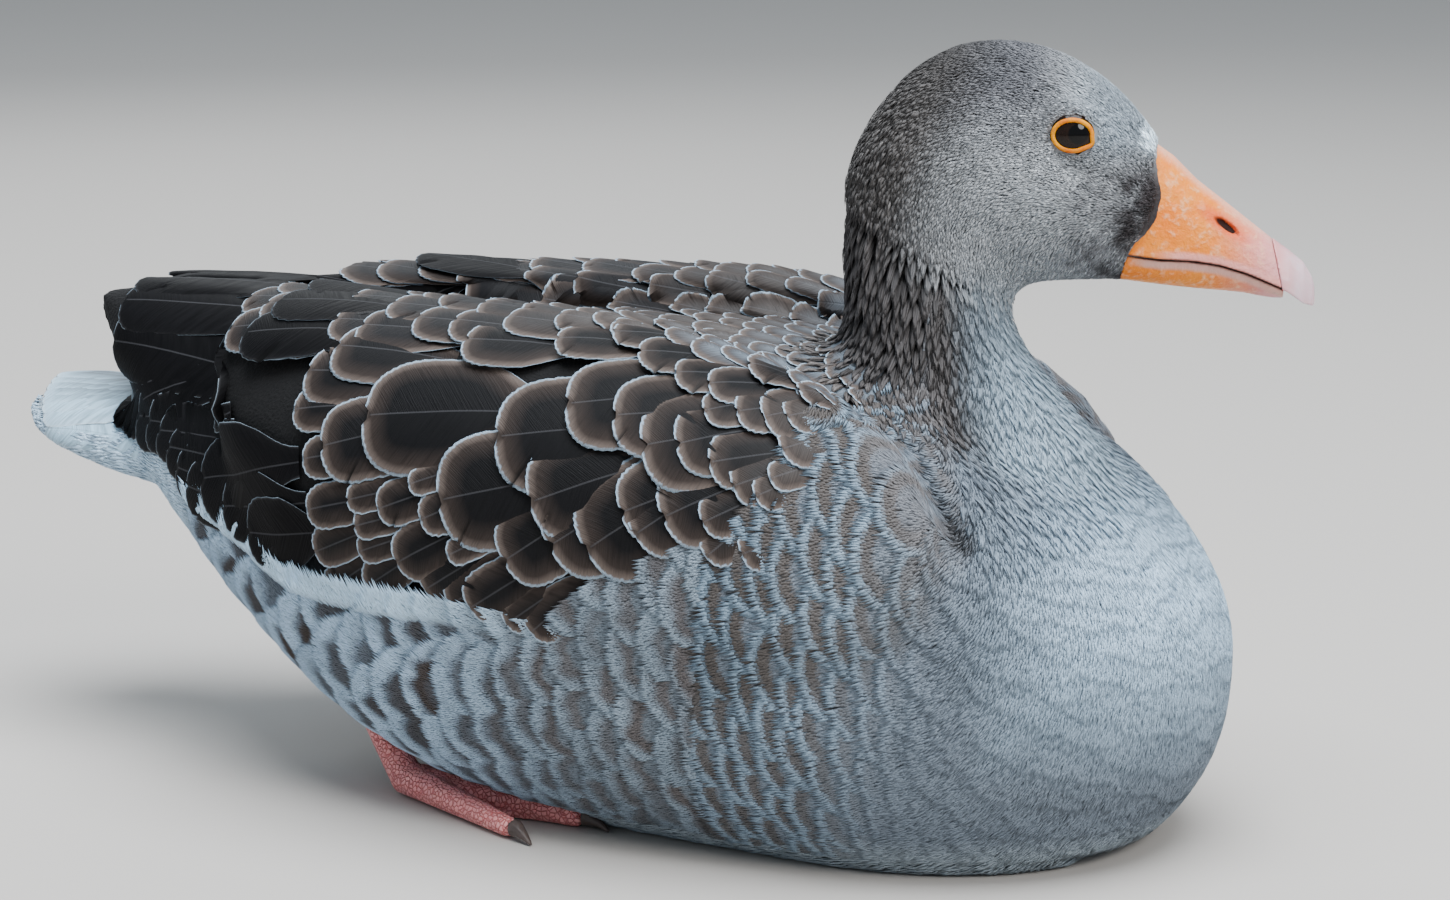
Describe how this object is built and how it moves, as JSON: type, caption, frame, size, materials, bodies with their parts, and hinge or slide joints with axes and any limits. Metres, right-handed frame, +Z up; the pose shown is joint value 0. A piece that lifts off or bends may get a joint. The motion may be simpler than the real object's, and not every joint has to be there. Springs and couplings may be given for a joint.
{
  "type": "domestic goose",
  "caption": "Life-size grey domestic goose sitting on its belly with folded wings, upright neck and head turned slightly to its left; orange bill, feet tucked under.",
  "frame": {"origin": "on the floor under the middle of the bird's box", "axes": "+X the way the breast faces, +Y the bird's left, +Z up"},
  "size_m": [0.4376, 0.2156, 0.2433],
  "materials": {
    "plumage_body": "soft grey-brown body feathers",
    "plumage_neck": "furrowed grey-brown neck feathers",
    "plumage_head": "short dark grey-brown head feathers",
    "plumage_wing": "dark brown wing feathers with pale edges",
    "plumage_tail": "dark tail feathers with white tips",
    "bill_horn": "orange horn with pink patches",
    "nail_horn": "pale pink horn",
    "eye": "wet dark brown",
    "foot_skin": "pink scaled skin",
    "claw_horn": "dark horn"
  },
  "bodies": {
    "root": {"trunk": "plumage_body", "neck": "plumage_neck", "head": "plumage_head", "wing_left": "plumage_wing", "wing_right": "plumage_wing", "primaries_left": "plumage_wing", "primaries_right": "plumage_wing", "tail": "plumage_tail", "bill_upper": "bill_horn", "bill_lower": "bill_horn", "bill_nail": "nail_horn", "eye_left": "eye", "eye_right": "eye", "foot_left": "foot_skin", "foot_right": "foot_skin", "claw_left_inner": "claw_horn", "claw_left_middle": "claw_horn", "claw_left_outer": "claw_horn", "claw_right_inner": "claw_horn", "claw_right_middle": "claw_horn", "claw_right_outer": "claw_horn"}
  },
  "joints": []
}
